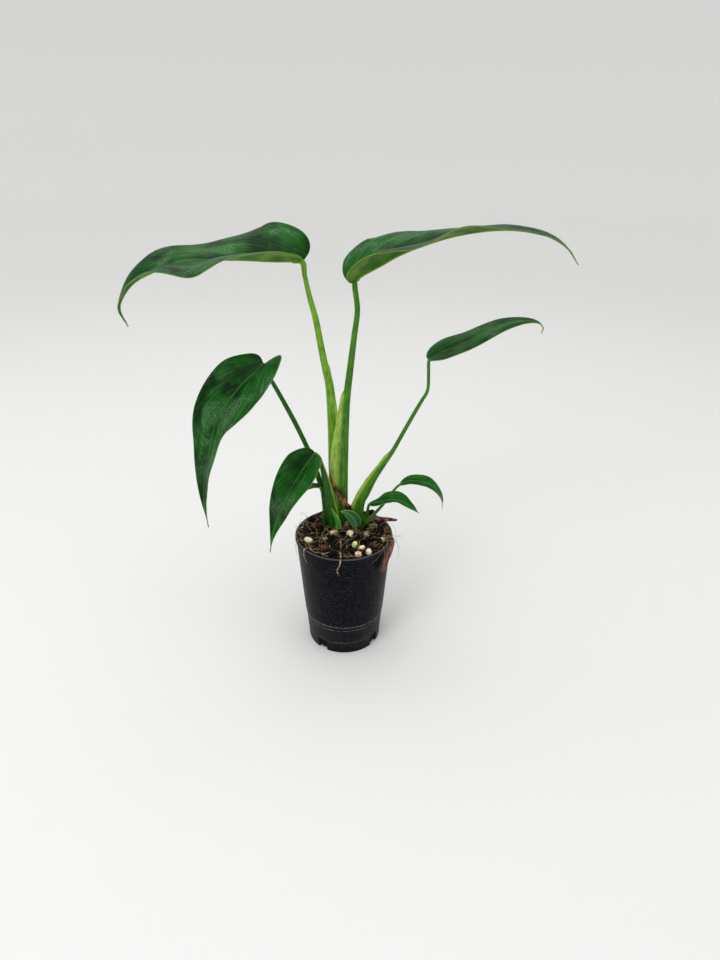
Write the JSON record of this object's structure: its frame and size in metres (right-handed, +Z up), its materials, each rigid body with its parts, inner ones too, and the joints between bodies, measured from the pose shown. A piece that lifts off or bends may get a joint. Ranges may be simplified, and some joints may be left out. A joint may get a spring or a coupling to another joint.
{
  "type": "potted climbing aroid plant",
  "caption": "Young climbing aroid with long drip-tipped dark green leaves on sheathed petioles, in a round black nursery pot filled with chunky mix.",
  "frame": {"origin": "centre of the pot's underside, on the surface it stands on", "axes": "+Z up, -Y towards the picture's viewer, +X to the viewer's right"},
  "size_m": [0.3441, 0.0893, 0.3672],
  "materials": {
    "pot": "thin moulded black plastic, slightly glossy, dusty",
    "soil": "damp chunky potting mix of bark and peat",
    "blade": "living leaf, dark green above with a soft waxy sheen, paler below",
    "petiole": "smooth living leaf stalk, lime to mid green",
    "crown": "short living stem, scarred",
    "shoot": "soft pale new growth",
    "dried_sheath": "papery dried leaf sheath",
    "bark": "rough bark pieces",
    "root": "thin dry aerial roots",
    "grain": "porous cream mineral grains"
  },
  "bodies": {
    "root": {"pot": "pot", "soil": "soil", "crown": "crown", "blade_high_right": "blade", "blade_high_left": "blade", "blade_mid_right": "blade", "blade_hanging_left": "blade", "blade_hanging_low": "blade", "blade_small_right_upper": "blade", "blade_small_right_lower": "blade", "blade_small_left": "blade", "blade_small_front": "blade", "petiole_high_right": "petiole", "petiole_high_left": "petiole", "petiole_mid_right": "petiole", "petiole_hanging_left": "petiole", "petiole_hanging_low": "petiole", "petiole_small_right_upper": "petiole", "petiole_small_right_lower": "petiole", "petiole_small_left": "petiole", "petiole_small_front": "petiole", "new_shoot": "shoot", "dried_sheath": "dried_sheath", "old_stub": "bark", "grain_1": "grain", "grain_2": "grain", "grain_3": "grain", "grain_4": "grain", "grain_5": "grain", "grain_6": "grain", "grain_7": "grain", "grain_8": "grain", "grain_9": "grain", "grain_10": "grain", "grain_11": "grain", "grain_12": "grain", "bark_strip": "bark", "bark_chip_rim": "bark", "bark_stick": "bark", "bark_chip_left": "bark", "bark_chip_front": "bark", "bark_chip_right": "bark", "root_front": "root", "root_left": "root"}
  },
  "joints": []
}
